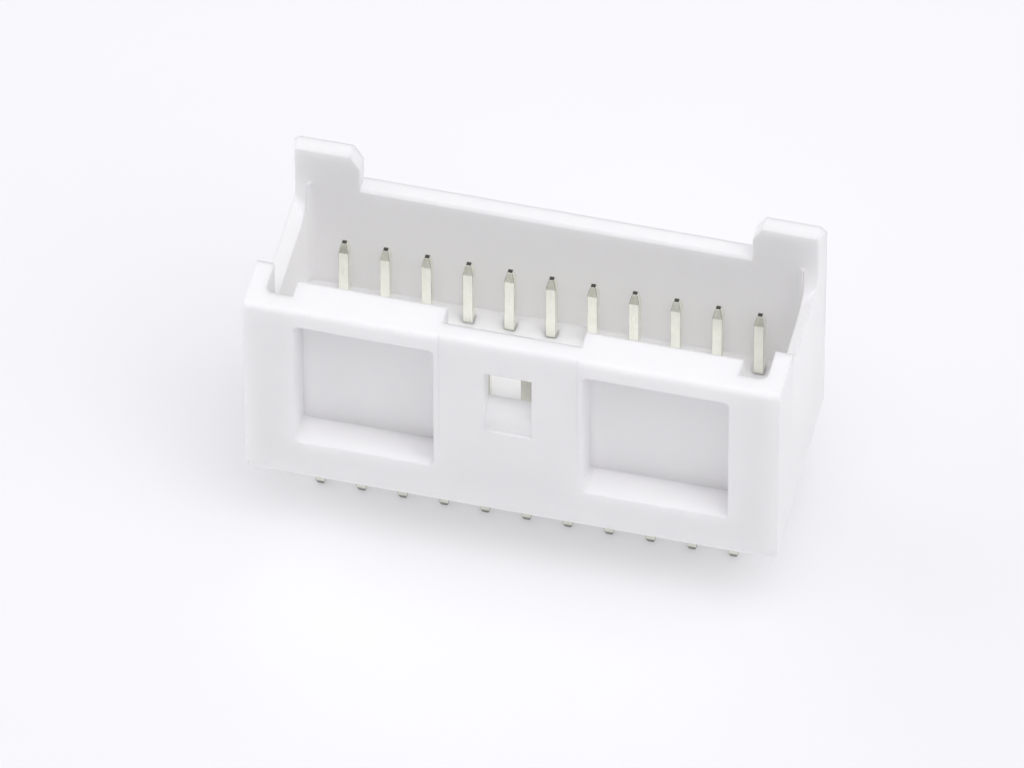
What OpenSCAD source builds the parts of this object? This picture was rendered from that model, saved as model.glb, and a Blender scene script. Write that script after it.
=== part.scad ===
// Shrouded two-row board header for a cable plug, soldered upright through a circuit board.
// Millimetres. X runs along the rows, Y from the front wall (-) to the back wall (+), Z up.
// The origin is the middle of the face that stands on the board.

/* [Contacts] */
// Contacts in each row
columns = 11; // [5:1:24]
// Spacing of the contacts along a row
pitch = 2; // [1.8:0.05:2.6]
// Spacing of the two rows
row_gap = 5; // [4.6:0.1:5.4]
// How far the middle of the two rows lies behind the middle of the housing
row_shift = 0.89; // [0.7:0.01:1]
// Side of the square pins
pin_side = 0.5; // [0.4:0.02:0.64]
// Gap between a pin and each side of its hole
pin_fit = 0; // [0:0.01:0.05]
// Height of the pin tips above the board
pin_reach = 7.35; // [6:0.05:9]
// Length of the solder tails below the housing
tail_length = 4.1; // [2.5:0.1:4.5]
// Length of the taper at a mating tip
tip_taper = 0.55; // [0.4:0.05:1.5]
// Side of the flat at a mating tip
tip_flat = 0.25; // [0.1:0.01:0.36]
// Length of the taper at the end of a tail
tail_taper = 0.3; // [0.2:0.05:0.8]
// Side of the flat at the end of a tail
tail_flat = 0.3; // [0.16:0.02:0.36]

/* [Housing] */
// Housing beyond the outermost contacts at each end
end_margin = 2.775; // [2.6:0.025:3.6]
// Depth of the housing from front to back
body_depth = 10; // [9.8:0.1:11]
// Height of the cavity floor above the board
floor_height = 3.5; // [3.2:0.1:4.2]
// Height of the front wall
front_height = 11.4; // [10.8:0.1:12.4]
// Height of the back wall
back_height = 10.3; // [9.8:0.1:11.2]
// Thickness of the back wall
back_wall = 0.85; // [0.7:0.05:1]
// Thickness of the end walls
end_wall = 0.83; // [0.75:0.01:1]
// Thickness of the front wall in its thin stretches
front_wall = 1; // [0.9:0.05:1.2]
// Radius along the top edge of the front wall
front_edge_radius = 0.3; // [0.1:0.05:0.4]
// Radius of the upright corners of the cavity
cavity_radius = 0.4; // [0.2:0.05:0.5]
// Width of the lead-in along the top of the back wall
back_lead_in = 0.15; // [0.05:0.05:0.3]

/* [Key bays in the front wall] */
// Thickness of the front wall at the bays
bay_depth = 2.4; // [2.2:0.05:2.5]
// Distance from the end of the housing to the near end of a bay
bay_from_end = 2.15; // [1.8:0.05:2.4]
// Width of the thin stretch between the bays
key_gap = 6.6; // [5:0.1:7.4]
// How far the face of the stretch between the bays leans back at its top
key_lean = 0.08; // [0.04:0.01:0.2]
// Offset of the lock window and of the stretch around it along the rows
lock_offset = -0.15; // [-0.3:0.05:0.3]
// Width of the lead-in on the inner edge of a bay
bay_lead_in = 0.5; // [0.2:0.05:0.6]
// Depth of the pocket in the outer face of a bay
pocket_depth = 1.7; // [1:0.05:1.75]
// Wall between a pocket and the end of its bay
pocket_side_wall = 0.25; // [0.2:0.05:0.5]
// Height of the lower edge of the pockets
pocket_base = 2.35; // [1.5:0.05:3]
// Wall between a pocket and the top of the front wall
pocket_roof = 1; // [0.8:0.05:1.4]
// Radius of the corners of the pockets
pocket_radius = 0.3; // [0.1:0.05:0.4]

/* [Lock window] */
// Width of the lock window
window_width = 2.25; // [1.8:0.05:3]
// Height of the lower edge of the window
window_base = 6.95; // [6.6:0.05:7.2]
// Height of the window
window_height = 2.45; // [2:0.05:2.8]
// Height of the shallow channel below the window
channel_height = 1.5; // [1.2:0.05:1.8]
// Depth of the channel
channel_depth = 0.15; // [0.1:0.05:0.3]

/* [End walls and ears] */
// Depth of the full-height post at each front corner
post_depth = 2.8; // [2.5:0.1:3.4]
// Height of the end walls behind the posts
end_height = 9.3; // [8.8:0.1:9.8]
// How far the outer face of an end wall leans in at its top
end_lean = 0.24; // [0.1:0.02:0.3]
// Height over which the outer face leans in
end_lean_height = 4; // [2:0.1:5]
// Drop of the lead-in along the top of an end wall
end_lead_in_drop = 0.8; // [0.4:0.05:1.2]
// Height of the ears at the back corners
ear_height = 12.4; // [12:0.1:13]
// Length of an ear along the rows
ear_length = 3.35; // [3:0.05:4]
// Height of the sloped corner of an ear towards the middle
ear_slope_height = 0.75; // [0.4:0.05:1]
// Width of the sloped corner of an ear towards the middle
ear_slope_width = 0.45; // [0.3:0.05:0.8]
// Size of the cut on the outer top corner of an ear
ear_corner = 0.3; // [0.1:0.05:0.4]
// Radius of the sweep from an end wall up into its ear
ear_sweep = 1.6; // [1:0.1:1.9]

/* [Underside] */
// Height of the foot rim that stands on the board
foot_height = 0.4; // [0.2:0.05:0.6]
// How far the foot rim lies inside the housing's outline
foot_inset = 0.1; // [0.05:0.05:0.2]
// Width of the foot rim
foot_width = 0.7; // [0.5:0.05:0.8]
// Width of the core-outs between the two rows
core_width = 3.2; // [2.4:0.1:3.4]
// Thickness of the ribs between the core-outs
core_rib = 0.9; // [0.7:0.05:1.4]
// Thickness of the floor above the core-outs
core_roof = 1.2; // [1:0.05:1.6]

/* [Hidden] */
CONTACTS = [for (i = [1 : columns]) i];
$fn = 32;
// How far a cut runs past the face that it opens
past = 0.5;
row_length = (columns - 1) * pitch;
half_length = row_length / 2 + end_margin;
front_y = -body_depth / 2;
back_y = body_depth / 2;
front_row_y = row_shift - row_gap / 2;
rear_row_y = row_shift + row_gap / 2;
cavity_half = half_length - end_wall;
cavity_back = back_y - back_wall;
cavity_front = front_y + front_wall;
post_back = front_y + post_depth;
bay_outer = half_length - bay_from_end;
end_crest = half_length - end_lean;
BAYS = [
    [-bay_outer, lock_offset - key_gap / 2],
    [lock_offset + key_gap / 2, bay_outer]
];
foot_half = half_length - foot_inset;
foot_front = front_y + foot_inset;
foot_back = back_y - foot_inset;

// A box between two corners.
module block(low, high) {
    translate(low) cube(high - low);
}

// A rectangle between two corners with round corners.
module round_rectangle(low, high, r) {
    across = high - low;
    translate(low + [r, 0]) square([across.x - 2 * r, across.y]);
    translate(low + [0, r]) square([across.x, across.y - 2 * r]);
    for (x = [low.x + r, high.x - r], y = [low.y + r, high.y - r])
        translate([x, y]) circle(r);
}

// The corner that a fillet of radius r fills, with the walls along +X and +Y of its corner at zero.
module fillet_corner(r) {
    difference() {
        square(r);
        translate([r, r]) circle(r);
    }
}

// An outline in Y and Z, drawn out along X from one place to another.
module along_x(from, to) {
    translate([from, 0, 0]) rotate([90, 0, 90]) linear_extrude(to - from) children();
}

// An outline in X and Z, drawn out along Y from one place to another.
module along_y(from, to) {
    translate([0, to, 0]) rotate([90, 0, 0]) linear_extrude(to - from) children();
}

// The same shape at both ends of the housing.
module both_ends() {
    children();
    mirror([1, 0, 0]) children();
}

// The place of a contact along its row.
function column_x(i) = (i - 1) * pitch - row_length / 2;

// The slab that carries the pins, with the foot rim under it.
module base() {
    block([-half_length, front_y, foot_height], [half_length, back_y, floor_height]);
    difference() {
        block([-foot_half, foot_front, 0], [foot_half, foot_back, foot_height]);
        block(
            [foot_width - foot_half, foot_front + foot_width, -past],
            [foot_half - foot_width, foot_back - foot_width, foot_height]
        );
    }
}

// The front wall at its thin section, rounded along its top front edge.
module front_panel() {
    r = front_edge_radius;
    along_x(-half_length, half_length) {
        translate([front_y, foot_height]) square([front_wall, front_height - foot_height - r]);
        translate([front_y + r, foot_height]) square([front_wall - r, front_height - foot_height]);
        translate([front_y + r, front_height - r]) circle(r);
    }
}

// One thick bay behind the front panel, over its span along the rows.
module bay(span) {
    inner = front_y + bay_depth;
    difference() {
        translate([0, 0, foot_height]) linear_extrude(front_height - foot_height)
            round_rectangle([span[0], front_y + front_edge_radius], [span[1], inner], cavity_radius);
        along_x(span[0] - past, span[1] + past)
            polygon([
                [inner + past, front_height - bay_lead_in - past],
                [inner + past, front_height + past],
                [inner - bay_lead_in - past, front_height + past]
            ]);
    }
}

// The pocket that cores out a bay from the front.
module bay_pocket(span) {
    along_y(front_y - past, front_y + pocket_depth)
        round_rectangle(
            [span[0] + pocket_side_wall, pocket_base],
            [span[1] - pocket_side_wall, front_height - pocket_roof],
            pocket_radius
        );
}

// The sliver that leaves the stretch between the bays leaning back, with its top edge round again.
module lean_cut() {
    along_x(BAYS[0][1], BAYS[1][0]) {
        polygon([
            [front_y - past, pocket_base],
            [front_y, pocket_base],
            [front_y + key_lean, front_height],
            [front_y + key_lean, front_height + past],
            [front_y - past, front_height + past]
        ]);
        translate([front_y + key_lean, front_height]) mirror([0, 1]) fillet_corner(front_edge_radius);
    }
}

// The back wall, with a lead-in along the top of its inner face.
module back_panel() {
    along_x(-half_length, half_length)
        polygon([
            [cavity_back, foot_height],
            [back_y, foot_height],
            [back_y, back_height],
            [cavity_back + back_lead_in, back_height],
            [cavity_back, back_height - back_lead_in]
        ]);
}

// One end: the front post, the lower wall behind it, the ear and the sweep between them.
module end_structure() {
    sweep_base = end_height - end_lead_in_drop;
    block([cavity_half, front_y + front_edge_radius, foot_height], [half_length, post_back, front_height]);
    along_y(post_back, cavity_back)
        polygon([
            [cavity_half, foot_height],
            [half_length, foot_height],
            [half_length, end_height - end_lean_height],
            [end_crest, end_height],
            [cavity_half, sweep_base]
        ]);
    along_y(cavity_back, back_y)
        polygon([
            [half_length - ear_length, foot_height],
            [half_length, foot_height],
            [half_length, ear_height - ear_corner],
            [half_length - ear_corner, ear_height],
            [half_length - ear_length + ear_slope_width, ear_height],
            [half_length - ear_length, ear_height - ear_slope_height]
        ]);
    along_x(cavity_half, end_crest)
        translate([cavity_back, sweep_base]) mirror([1, 0]) fillet_corner(ear_sweep);
    translate([cavity_half, cavity_back, foot_height])
        linear_extrude(back_height - foot_height) rotate(180) fillet_corner(cavity_radius);
    translate([cavity_half, cavity_front, foot_height])
        linear_extrude(front_height - foot_height) rotate(90) fillet_corner(cavity_radius);
}

// The outer corner that an ear and the wall under it lose, so that they meet the leaning end wall.
module ear_outer_cut() {
    intersection() {
        translate([0, 0, foot_height]) linear_extrude(ear_height)
            polygon([
                [end_crest, cavity_back],
                [half_length + past, cavity_back],
                [half_length + past, back_y],
                [half_length, back_y]
            ]);
        along_y(cavity_back, back_y)
            polygon([
                [half_length, end_height - end_lean_height],
                [half_length + past, end_height - end_lean_height],
                [half_length + past, ear_height + past],
                [end_crest, ear_height + past],
                [end_crest, end_height]
            ]);
    }
}

// The window in the front wall that the plug's lock snaps into, its round sill and the channel below.
module lock_window() {
    left = lock_offset - window_width / 2;
    right = lock_offset + window_width / 2;
    block([left, front_y - past, window_base], [right, cavity_front + past, window_base + window_height]);
    block(
        [left, front_y - past, window_base - channel_height],
        [right, front_y + channel_depth, window_base]
    );
    along_x(left, right)
        translate([front_y + channel_depth, window_base])
            mirror([0, 1]) fillet_corner(front_wall - channel_depth);
}

// The square holes that hold the pins.
module pin_holes() {
    half = pin_side / 2 + pin_fit;
    for (i = CONTACTS, y = [front_row_y, rear_row_y])
        translate([column_x(i), y, 0])
            block([-half, -half, foot_height - past], [half, half, floor_height + past]);
}

// The core-outs under the floor, between the two rows, one for every two contacts.
module core_outs() {
    cells = floor((columns - 1) / 2);
    cell_pitch = row_length / cells;
    half = (cell_pitch - core_rib) / 2;
    for (i = [0 : cells - 1])
        translate([(i + 0.5) * cell_pitch - row_length / 2, row_shift, 0])
            block(
                [-half, -core_width / 2, foot_height - past],
                [half, core_width / 2, floor_height - core_roof]
            );
}

// The whole moulded housing.
module housing() {
    color("whitesmoke") difference() {
        union() {
            base();
            front_panel();
            back_panel();
            both_ends() end_structure();
            for (span = BAYS) bay(span);
        }
        for (span = BAYS) bay_pocket(span);
        lean_cut();
        both_ends() ear_outer_cut();
        lock_window();
        pin_holes();
        core_outs();
    }
}

// The side view of a pin, from the cut tail up to the pointed mating tip.
module pin_outline() {
    half = pin_side / 2;
    polygon([
        [-tail_flat / 2, -tail_length],
        [tail_flat / 2, -tail_length],
        [half, tail_taper - tail_length],
        [half, pin_reach - tip_taper],
        [tip_flat / 2, pin_reach],
        [-tip_flat / 2, pin_reach],
        [-half, pin_reach - tip_taper],
        [-half, tail_taper - tail_length]
    ]);
}

// One square pin, tapered on all four sides at both ends.
module pin(i, y) {
    color("silver") translate([column_x(i), y, 0]) intersection() {
        along_x(-pin_side, pin_side) pin_outline();
        along_y(-pin_side, pin_side) pin_outline();
    }
}

housing();
for (i = CONTACTS) {
    pin(i, front_row_y);
    pin(i, rear_row_y);
}
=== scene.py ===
from math import cos, radians, sin

import bpy
from bpy.props import FloatProperty, FloatVectorProperty, PointerProperty
from mathutils import Euler, Matrix, Vector


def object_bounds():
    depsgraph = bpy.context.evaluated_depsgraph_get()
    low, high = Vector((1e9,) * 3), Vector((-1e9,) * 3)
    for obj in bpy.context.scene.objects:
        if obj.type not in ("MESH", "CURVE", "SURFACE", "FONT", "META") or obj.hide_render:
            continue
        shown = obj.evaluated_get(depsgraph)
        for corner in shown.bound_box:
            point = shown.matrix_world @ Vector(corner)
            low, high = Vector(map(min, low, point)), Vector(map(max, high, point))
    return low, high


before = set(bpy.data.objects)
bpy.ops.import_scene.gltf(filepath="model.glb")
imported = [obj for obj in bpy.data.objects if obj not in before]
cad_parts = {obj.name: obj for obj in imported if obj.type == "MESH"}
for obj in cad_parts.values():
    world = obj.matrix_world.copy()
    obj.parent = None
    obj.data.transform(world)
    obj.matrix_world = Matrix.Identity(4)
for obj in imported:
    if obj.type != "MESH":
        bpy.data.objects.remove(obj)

bl_info = {
    "name": "Board Header",
    "version": (1, 0, 0),
    "blender": (4, 5, 0),
    "location": "View3D > Sidebar > Board Header",
    "description": "Finishes a white two-row shrouded board header and lights it on a pale floor",
    "category": "Object",
}

CAD_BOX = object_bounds()
MM = 0.001
# The ends of the solder tails are the lowest thing there is, and the floor lies under them
TAIL_END = CAD_BOX[0][2]
HOUSING_NODE = "housing"
PIN_NODES = sorted(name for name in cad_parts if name.startswith("pin_"))


# Spacing of the nodes in the shader editor
GRID = 220


def linear(hex_colour):
    """Turn an sRGB hex colour into the linear one that the shaders work in."""
    parts = [int(hex_colour[i:i + 2], 16) / 255 for i in (0, 2, 4)]
    parts = [p / 12.92 if p <= 0.04045 else ((p + 0.055) / 1.055) ** 2.4 for p in parts]
    return (*parts, 1.0)


def add_node(tree, kind, spot, inputs=None, **settings):
    """Add one node at a spot on the grid, with its settings, its values and the links into it."""
    node = tree.nodes.new("ShaderNode" + kind)
    node.location = (spot[0] * GRID, spot[1] * GRID)
    for name, value in settings.items():
        setattr(node, name, value)
    for socket, value in (inputs or {}).items():
        if isinstance(value, bpy.types.NodeSocket):
            tree.links.new(value, node.inputs[socket])
        else:
            node.inputs[socket].default_value = value
    return node


def new_tree(owner):
    """Give a material, a world or a lamp an empty node tree."""
    owner.use_nodes = True
    owner.node_tree.nodes.clear()
    return owner.node_tree


# ---------------------------------------------------------------- sizes and colours

class HousingFinish(bpy.types.PropertyGroup):
    colour: FloatVectorProperty(
        name="Nylon colour", description="Colour of the moulded nylon",
        default=linear("FAF9FA"), size=4, min=0, max=1, subtype="COLOR")
    edge_radius: FloatProperty(
        name="Edge radius", description="Radius that the shading gives each edge of the moulding",
        default=0.12 * MM, min=0, max=0.2 * MM, subtype="DISTANCE", unit="LENGTH", precision=6)
    roughness: FloatProperty(
        name="Roughness", description="Roughness of the moulded face",
        default=0.5, min=0, max=1, subtype="FACTOR")
    grain: FloatProperty(
        name="Grain", description="Width of one grain of the spark-eroded mould face",
        default=0.12 * MM, min=0.01 * MM, max=1 * MM, subtype="DISTANCE", unit="LENGTH", precision=6)
    grain_depth: FloatProperty(
        name="Grain depth", description="Depth of the grain",
        default=0.004 * MM, min=0, max=0.05 * MM, subtype="DISTANCE", unit="LENGTH", precision=7)


class PinFinish(bpy.types.PropertyGroup):
    colour: FloatVectorProperty(
        name="Tin colour", description="Colour of the tin plating",
        default=linear("F8F9EE"), size=4, min=0, max=1, subtype="COLOR")
    edge_radius: FloatProperty(
        name="Edge radius", description="Radius along the edges of the drawn wire",
        default=0.03 * MM, min=0, max=0.1 * MM, subtype="DISTANCE", unit="LENGTH", precision=6)
    roughness: FloatProperty(
        name="Roughness", description="Roughness of the plating",
        default=0.24, min=0, max=1, subtype="FACTOR")
    line_spacing: FloatProperty(
        name="Line spacing", description="Spacing of the fine lines that drawing leaves along the wire",
        default=0.06 * MM, min=0.005 * MM, max=0.5 * MM, subtype="DISTANCE", unit="LENGTH", precision=6)


class StageSettings(bpy.types.PropertyGroup):
    floor_colour: FloatVectorProperty(
        name="Floor colour", description="Colour of the plain floor",
        default=linear("C9C9CA"), size=4, min=0, max=1, subtype="COLOR")
    floor_glow: FloatProperty(
        name="Floor glow", description="Light that comes up through the floor sheet",
        default=0.35, min=0, soft_max=1, subtype="FACTOR")
    key_power: FloatProperty(
        name="Overhead light", description="Power of the soft light overhead",
        default=0.1, min=0, soft_max=20, subtype="POWER", unit="POWER")
    side_power: FloatProperty(
        name="Side light", description="Power of the soft light on the right",
        default=0.05, min=0, soft_max=20, subtype="POWER", unit="POWER")
    surround: FloatProperty(
        name="Surround", description="Brightness of the studio all round",
        default=0.46, min=0, soft_max=2, subtype="FACTOR")
    lens: FloatProperty(
        name="Lens", description="Focal length of the camera, in millimetres",
        default=543.9, min=10, max=2000)
    distance: FloatProperty(
        name="Camera distance", description="How far the camera stands from the header",
        default=727.7 * MM, min=50 * MM, max=5, subtype="DISTANCE", unit="LENGTH")


# ---------------------------------------------------------------- materials

def moulded_nylon(finish):
    """White nylon 66, injection moulded: satin, a little light goes into it, fine even grain."""
    material = bpy.data.materials.new("moulded_nylon_white")
    tree = new_tree(material)
    place = add_node(tree, "TexCoord", (-6, 0))

    # The melt clouds as it flows: broad, very faint changes of white, several millimetres across
    flow = add_node(tree, "TexNoise", (-5, 1), {
        "Vector": place.outputs["Object"], "Scale": 1 / (6 * MM), "Detail": 3.0, "Roughness": 0.5})
    cloud = add_node(tree, "MapRange", (-4, 1), {
        "Value": flow.outputs["Fac"], "From Min": 0.3, "From Max": 0.7, "To Min": 0.975, "To Max": 1.0})
    white = add_node(tree, "HueSaturation", (-3, 1), {
        "Value": cloud.outputs["Result"], "Color": tuple(finish.colour)})

    # Grain of the spark-eroded mould, 0.02 mm in fact and drawn 0.12 mm wide so that it can show
    grain = add_node(tree, "TexNoise", (-5, -1), {
        "Vector": place.outputs["Object"], "Scale": 1 / finish.grain, "Detail": 2.0, "Roughness": 0.6})
    # Slower waviness, where thick and thin walls shrink by different amounts
    sink = add_node(tree, "TexNoise", (-5, -2), {
        "Vector": place.outputs["Object"], "Scale": 1 / (2.5 * MM), "Detail": 1.0})
    shine = add_node(tree, "MapRange", (-3, 0), {
        "Value": grain.outputs["Fac"], "To Min": finish.roughness - 0.05, "To Max": finish.roughness + 0.07})
    # No edge of a moulding is quite sharp, so light runs softly over each corner
    soft = add_node(tree, "Bevel", (-3, -3), {"Radius": finish.edge_radius}, samples=6)
    wave = add_node(tree, "Bump", (-2, -2), {
        "Height": sink.outputs["Fac"], "Distance": 0.02 * MM, "Strength": 0.6,
        "Normal": soft.outputs["Normal"]})
    relief = add_node(tree, "Bump", (-1, -1), {
        "Height": grain.outputs["Fac"], "Distance": finish.grain_depth, "Strength": 0.8,
        "Normal": wave.outputs["Normal"]})
    shader = add_node(tree, "BsdfPrincipled", (0, 0), {
        "Base Color": white.outputs["Color"], "Roughness": shine.outputs["Result"],
        "Normal": relief.outputs["Normal"], "IOR": 1.53, "Metallic": 0.0,
        "Subsurface Weight": 1.0, "Subsurface Radius": (1.0, 0.99, 0.95), "Subsurface Scale": 0.7 * MM})
    add_node(tree, "OutputMaterial", (1.5, 0), {"Surface": shader.outputs["BSDF"]})
    return material


def tinned_brass(finish):
    """Drawn brass wire with bright tin plating: a pale warm mirror, softened by lines along the wire."""
    material = bpy.data.materials.new("drawn_brass_tin_plated")
    tree = new_tree(material)
    place = add_node(tree, "TexCoord", (-6, 0))

    # The drawing die leaves lines along the wire, a few microns apart, drawn wider so that they show
    stretch = add_node(tree, "Mapping", (-5, 0), {
        "Vector": place.outputs["Object"], "Scale": (1.0, 1.0, 0.03)})
    lines = add_node(tree, "TexNoise", (-4, 0), {
        "Vector": stretch.outputs["Vector"], "Scale": 1 / finish.line_spacing, "Detail": 2.0})
    # Plating is not the same thickness all over: cloudy patches about half a millimetre long
    patches = add_node(tree, "TexNoise", (-4, 1), {
        "Vector": place.outputs["Object"], "Scale": 1 / (0.7 * MM), "Detail": 2.0})
    tone = add_node(tree, "MapRange", (-3, 1), {
        "Value": patches.outputs["Fac"], "From Min": 0.3, "From Max": 0.7, "To Min": 0.94, "To Max": 1.0})
    # The sheared ends are painted dark, a painted reflection of the dark ceiling at the back, and the
    # rounded edges along the wire a little greyer, a painted shade
    facing = add_node(tree, "SeparateXYZ", (-5, 3), {"Vector": place.outputs["Normal"]})
    upright = add_node(tree, "Math", (-4, 3), {0: facing.outputs["Z"]}, operation="ABSOLUTE")
    painted_end_reflection = add_node(tree, "MapRange", (-3, 3), {
        "Value": upright.outputs["Value"], "From Min": 0.85, "From Max": 0.97,
        "To Min": 1.0, "To Max": 0.12})
    across = add_node(tree, "Math", (-4, 2), {0: facing.outputs["X"], 1: facing.outputs["Y"]},
                      operation="MULTIPLY")
    corner = add_node(tree, "Math", (-3.5, 2), {0: across.outputs["Value"]}, operation="ABSOLUTE")
    edge = add_node(tree, "MapRange", (-3, 2), {
        "Value": corner.outputs["Value"], "From Min": 0.12, "From Max": 0.4,
        "To Min": 1.0, "To Max": 0.55})
    # Painted reflection on the flat ends times painted shade on the rounded edges
    painted_end_reflection_and_edge_shade = add_node(tree, "Math", (-2.5, 2), {
        0: painted_end_reflection.outputs["Result"], 1: edge.outputs["Result"]}, operation="MULTIPLY")
    # The lowest 0.2 mm of each tail is painted grey, a painted reflection of the dark shadow under the
    # header
    height = add_node(tree, "SeparateXYZ", (-5, 4), {"Vector": place.outputs["Object"]})
    painted_tail_reflection = add_node(tree, "MapRange", (-4, 4), {
        "Value": height.outputs["Z"], "From Min": TAIL_END + 0.2 * MM, "From Max": TAIL_END + 0.35 * MM,
        "To Min": 0.35, "To Max": 1.0})
    # All the painted reflection and painted shade on the pins together
    painted_reflection_and_shade = add_node(tree, "Math", (-2, 3), {
        0: painted_end_reflection_and_edge_shade.outputs["Value"], 1: painted_tail_reflection.outputs["Result"]}, operation="MULTIPLY")
    shade = add_node(tree, "Math", (-2.5, 1), {
        0: painted_reflection_and_shade.outputs["Value"], 1: tone.outputs["Result"]}, operation="MULTIPLY")
    tin = add_node(tree, "HueSaturation", (-2, 1), {
        "Value": shade.outputs["Value"], "Color": tuple(finish.colour)})
    shine = add_node(tree, "MapRange", (-3, 0), {
        "Value": lines.outputs["Fac"], "To Min": finish.roughness - 0.05, "To Max": finish.roughness + 0.08})
    relief = add_node(tree, "Bump", (-2, -1), {
        "Height": lines.outputs["Fac"], "Distance": 0.002 * MM, "Strength": 0.5})
    shader = add_node(tree, "BsdfPrincipled", (0, 0), {
        "Base Color": tin.outputs["Color"], "Roughness": shine.outputs["Result"],
        "Normal": relief.outputs["Normal"], "Metallic": 1.0})
    add_node(tree, "OutputMaterial", (1.5, 0), {"Surface": shader.outputs["BSDF"]})
    return material


def opal_sheet(colour, glow):
    """White acrylic sheet of a light table, lit a little from below: even, matt and with pale shadows."""
    material = bpy.data.materials.new("opal_acrylic_sheet")
    tree = new_tree(material)
    place = add_node(tree, "TexCoord", (-4, 0))
    # The sheet is not quite even: patches a few centimetres across, hardly to be seen
    haze = add_node(tree, "TexNoise", (-3, 0), {
        "Vector": place.outputs["Object"], "Scale": 1 / (20 * MM), "Detail": 2.0})
    tone = add_node(tree, "MapRange", (-2, 0), {
        "Value": haze.outputs["Fac"], "To Min": 0.995, "To Max": 1.0})
    white = add_node(tree, "HueSaturation", (-1, 0), {
        "Value": tone.outputs["Result"], "Color": tuple(colour)})
    shader = add_node(tree, "BsdfPrincipled", (0, 0), {
        "Base Color": white.outputs["Color"], "Roughness": 0.9, "Specular IOR Level": 0.1,
        "Emission Color": linear("FCFCFF"), "Emission Strength": glow})
    add_node(tree, "OutputMaterial", (1.5, 0), {"Surface": shader.outputs["BSDF"]})
    return material


# ---------------------------------------------------------------- pieces

# Points of a mesh that lie closer together than this are one point
SAME_POINT = 0.0005 * MM
# Angles in degrees. Faces that part by less than the first are one flat face, by less than the second are
# shaded as one arc, and by less than the third get no rounding between them.
FLAT_ANGLE = 0.5
ARC_ANGLE = 25
EDGE_ANGLE = 30
# Steps across the rounding of a pin's edge
EDGE_STEPS = 2
# The wedge that trims the top edge between the bays: its ends in X, and its outline in Y and Z, all in
# millimetres. It stops 0.001 mm short of the ends of that stretch, so that no two faces lie in one plane.
TRIM_ENDS = (-3.449, 3.149)
TRIM_OUTLINE = ((-5.5, 10.95), (-4.923, 10.95), (-4.868, 11.6), (-5.5, 11.6))


def dress(node, material):
    """Give a node of the frame its finish, without touching its mesh."""
    for spot in node.material_slots:
        spot.link = "OBJECT"
        spot.material = material


def make_trim_block():
    """A wedge, never drawn, that takes off the 0.002 mm sliver along the top edge between the bays."""
    corners = [(x * MM, y * MM, z * MM) for x in TRIM_ENDS for y, z in TRIM_OUTLINE]
    mesh = bpy.data.meshes.new("edge_trim")
    mesh.from_pydata(corners, [], [
        (3, 2, 1, 0), (4, 5, 6, 7), (0, 1, 5, 4), (1, 2, 6, 5), (2, 3, 7, 6), (3, 0, 4, 7)])
    block = bpy.data.objects.new("edge_trim", mesh)
    bpy.context.scene.collection.objects.link(block)
    block.hide_render = True
    block.display_type = "WIRE"
    return block


def join_points(node):
    """Make one point of those that lie in the same place."""
    node.modifiers.new("join_points", "WELD").merge_threshold = SAME_POINT


def even_shading(node):
    """Let the large faces set the shading, so that flat ones look flat."""
    node.modifiers.new("even_shading", "WEIGHTED_NORMAL").keep_sharp = True


def part_sharp_edges(node):
    """Part the faces at each sharp edge, so that only arcs are shaded round."""
    node.modifiers.new("part_sharp_edges", "EDGE_SPLIT").split_angle = radians(ARC_ANGLE)


def trim_top_edge(node):
    """Cut the sliver off the top edge of the housing."""
    cut = node.modifiers.new("trim_edge", "BOOLEAN")
    cut.operation = "DIFFERENCE"
    cut.solver = "EXACT"
    cut.object = make_trim_block()


def round_edges(node, radius):
    """Join the faces that lie in one plane, then round what edges are left."""
    flat = node.modifiers.new("join_flat_faces", "DECIMATE")
    flat.decimate_type = "DISSOLVE"
    flat.angle_limit = radians(FLAT_ANGLE)
    bevel = node.modifiers.new("round_edges", "BEVEL")
    bevel.width = radius
    bevel.segments = EDGE_STEPS
    bevel.limit_method = "ANGLE"
    bevel.angle_limit = radians(EDGE_ANGLE)
    bevel.use_clamp_overlap = True
    bevel.harden_normals = True


class HEADER_OT_housing(bpy.types.Operator):
    """Trim the top edge of the housing, even out its shading and give it white nylon"""
    bl_idname = "header.housing"
    bl_label = "Housing"

    def execute(self, context):
        finish = context.scene.header_housing
        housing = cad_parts[HOUSING_NODE]
        dress(housing, moulded_nylon(finish))
        join_points(housing)
        trim_top_edge(housing)
        part_sharp_edges(housing)
        even_shading(housing)
        return {"FINISHED"}


class HEADER_OT_pins(bpy.types.Operator):
    """Round the edges of the square pins and give them tin plating"""
    bl_idname = "header.pins"
    bl_label = "Pins"

    def execute(self, context):
        finish = context.scene.header_pins
        if not PIN_NODES:
            raise RuntimeError("the frame has no pins")
        tin = tinned_brass(finish)
        for name in PIN_NODES:
            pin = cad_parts[name]
            dress(pin, tin)
            join_points(pin)
            round_edges(pin, finish.edge_radius)
            even_shading(pin)
        return {"FINISHED"}


# ---------------------------------------------------------------- stage

# The point that the camera looks at, and the degrees by which it is turned right, raised and rolled
AIM = (-1.480 * MM, 1.509 * MM, 1.577 * MM)
CAMERA_TURN = 13.389
CAMERA_RISE = 48.408
CAMERA_ROLL = -0.07
# Width of the camera's sensor in millimetres, and the nearest and farthest that it sees in metres
SENSOR_WIDTH = 36
NEAREST, FARTHEST = 0.01, 20
# Half the width of the floor in metres, and the place and width of each softbox
FLOOR_HALF = 1.5
OVERHEAD_SPOT, OVERHEAD_WIDTH = (0.0, 0.0, 0.6), 0.6
RIGHT_SPOT, RIGHT_WIDTH = (0.6, 0.1, 0.3), 0.4
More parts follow.
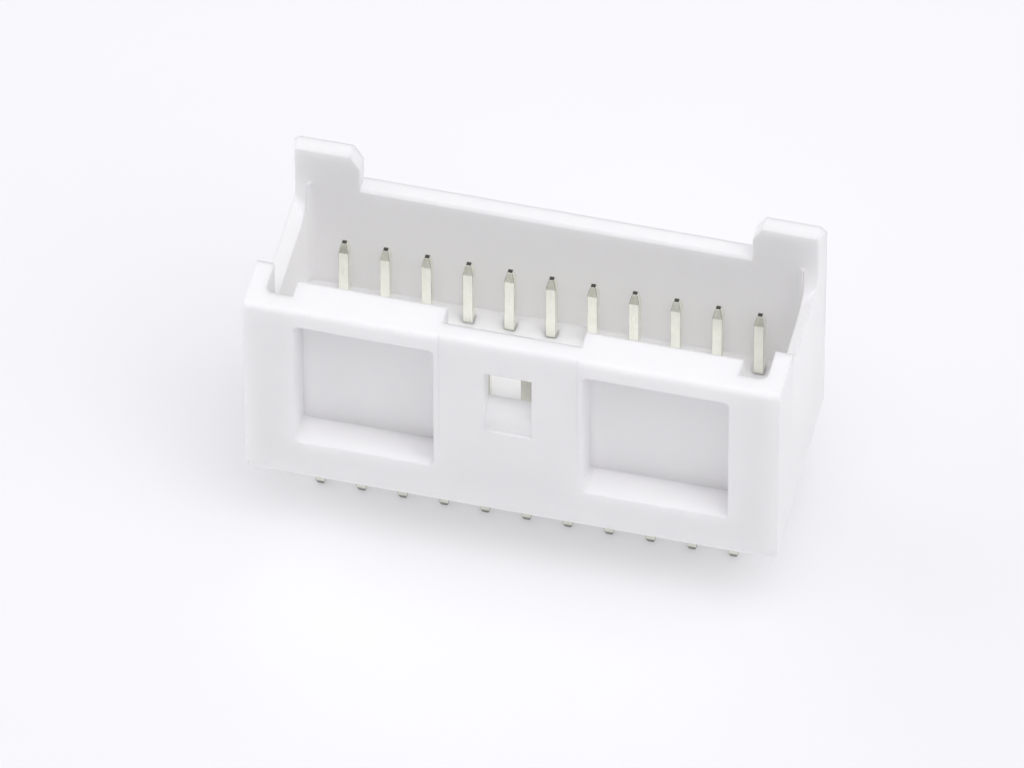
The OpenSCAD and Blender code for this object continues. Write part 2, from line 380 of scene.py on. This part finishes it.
# Patches of the studio shell: the way to the middle of each, the degrees from there at which it fades out
# and at which it is full, and how many times as bright as the plain shell it is. In order they are the dark
# low front, the white cloth on the left, the large lamp overhead to the front right, and the dark ceiling
# at the back. Where two of them overlap, both count.
PATCHES = (
    ((0.0, -1.0, 0.05), 72, 25, 0.03),
    ((-0.97, 0.0, 0.25), 60, 20, 3.0),
    ((0.3, -0.38, 0.87), 46, 8, 7.0),
    ((-0.15, 0.64, 0.75), 28, 13, 0.04),
)


def make_floor(colour, glow):
    """A wide plain floor that the tails stand on."""
    corners = [(x * FLOOR_HALF, y * FLOOR_HALF, TAIL_END) for x, y in ((-1, -1), (1, -1), (1, 1), (-1, 1))]
    mesh = bpy.data.meshes.new("floor")
    mesh.from_pydata(corners, [], [(0, 1, 2, 3)])
    mesh.materials.append(opal_sheet(colour, glow))
    floor = bpy.data.objects.new("floor", mesh)
    bpy.context.scene.collection.objects.link(floor)


def make_softbox(name, spot, width, power):
    """A square softbox at a spot, turned to the header."""
    light = bpy.data.lights.new(name, "AREA")
    light.shape = "SQUARE"
    light.size = width
    light.energy = power
    lamp = bpy.data.objects.new(name, light)
    bpy.context.scene.collection.objects.link(lamp)
    lamp.location = spot
    lamp.rotation_euler = (Vector(AIM) - Vector(spot)).to_track_quat("-Z", "Y").to_euler()


def make_surround(brightness):
    """The studio round the header: a plain pale shell with bright and dark patches."""
    world = bpy.data.worlds.new("studio")
    bpy.context.scene.world = world
    tree = new_tree(world)
    place = add_node(tree, "TexCoord", (-6, 0))
    level = brightness
    for step, (middle, outer, inner, part) in enumerate(PATCHES):
        toward = add_node(tree, "VectorMath", (-5, step), {
            0: place.outputs["Generated"], 1: Vector(middle).normalized()}, operation="DOT_PRODUCT")
        patch = add_node(tree, "MapRange", (-4, step), {
            "Value": toward.outputs["Value"], "From Min": cos(radians(outer)),
            "From Max": cos(radians(inner)), "To Min": 1.0, "To Max": part}, interpolation_type="SMOOTHSTEP")
        level = add_node(tree, "Math", (-3 + step, 0), {
            0: patch.outputs["Result"], 1: level}, operation="MULTIPLY").outputs["Value"]
    shell = add_node(tree, "Background", (0, 0), {"Color": linear("FDFCFF"), "Strength": level})
    add_node(tree, "OutputWorld", (1, 0), {"Surface": shell.outputs["Background"]})


def make_camera(lens, distance):
    """A long lens looking down at the front from the right."""
    camera = bpy.data.cameras.new("camera")
    camera.lens = lens
    camera.sensor_width = SENSOR_WIDTH
    camera.clip_start = NEAREST
    camera.clip_end = FARTHEST
    eye = bpy.data.objects.new("camera", camera)
    bpy.context.scene.collection.objects.link(eye)
    turn = (Matrix.Rotation(radians(CAMERA_TURN), 4, "Z")
            @ Matrix.Rotation(radians(90 - CAMERA_RISE), 4, "X")
            @ Matrix.Rotation(radians(CAMERA_ROLL), 4, "Z"))
    eye.matrix_world = Matrix.Translation(AIM) @ turn @ Matrix.Translation((0, 0, distance))
    bpy.context.scene.camera = eye


class HEADER_OT_stage(bpy.types.Operator):
    """Lay the pale floor, hang the soft lights and set up the camera"""
    bl_idname = "header.stage"
    bl_label = "Stage"

    def execute(self, context):
        stage = context.scene.header_stage
        context.scene.view_settings.view_transform = "Standard"
        make_floor(stage.floor_colour, stage.floor_glow)
        make_surround(stage.surround)
        make_softbox("softbox_overhead", OVERHEAD_SPOT, OVERHEAD_WIDTH, stage.key_power)
        make_softbox("softbox_right", RIGHT_SPOT, RIGHT_WIDTH, stage.side_power)
        make_camera(stage.lens, stage.distance)
        return {"FINISHED"}


# ---------------------------------------------------------------- panel and registration

class HEADER_PT_panel(bpy.types.Panel):
    """Lists the steps that finish the header, each with its sizes and colours"""
    bl_idname = "HEADER_PT_panel"
    bl_label = "Board Header"
    bl_space_type = "VIEW_3D"
    bl_region_type = "UI"
    bl_category = "Board Header"

    def draw(self, context):
        for operator, settings in STEPS:
            box = self.layout.box()
            box.operator(operator.bl_idname)
            group = getattr(context.scene, settings)
            for name in group.bl_rna.properties.keys():
                if name not in ("rna_type", "name"):
                    box.prop(group, name)


STEPS = (
    (HEADER_OT_housing, "header_housing"),
    (HEADER_OT_pins, "header_pins"),
    (HEADER_OT_stage, "header_stage"),
)
GROUPS = {"header_housing": HousingFinish, "header_pins": PinFinish, "header_stage": StageSettings}
CLASSES = (*GROUPS.values(), *(operator for operator, _ in STEPS), HEADER_PT_panel)


def register():
    for item in CLASSES:
        bpy.utils.register_class(item)
    for name, group in GROUPS.items():
        setattr(bpy.types.Scene, name, PointerProperty(type=group))


def unregister():
    for name in GROUPS:
        delattr(bpy.types.Scene, name)
    for item in reversed(CLASSES):
        bpy.utils.unregister_class(item)


def main():
    register()
    bpy.ops.header.housing()
    bpy.ops.header.pins()
    bpy.ops.header.stage()


if __name__ == "__main__":
    main()
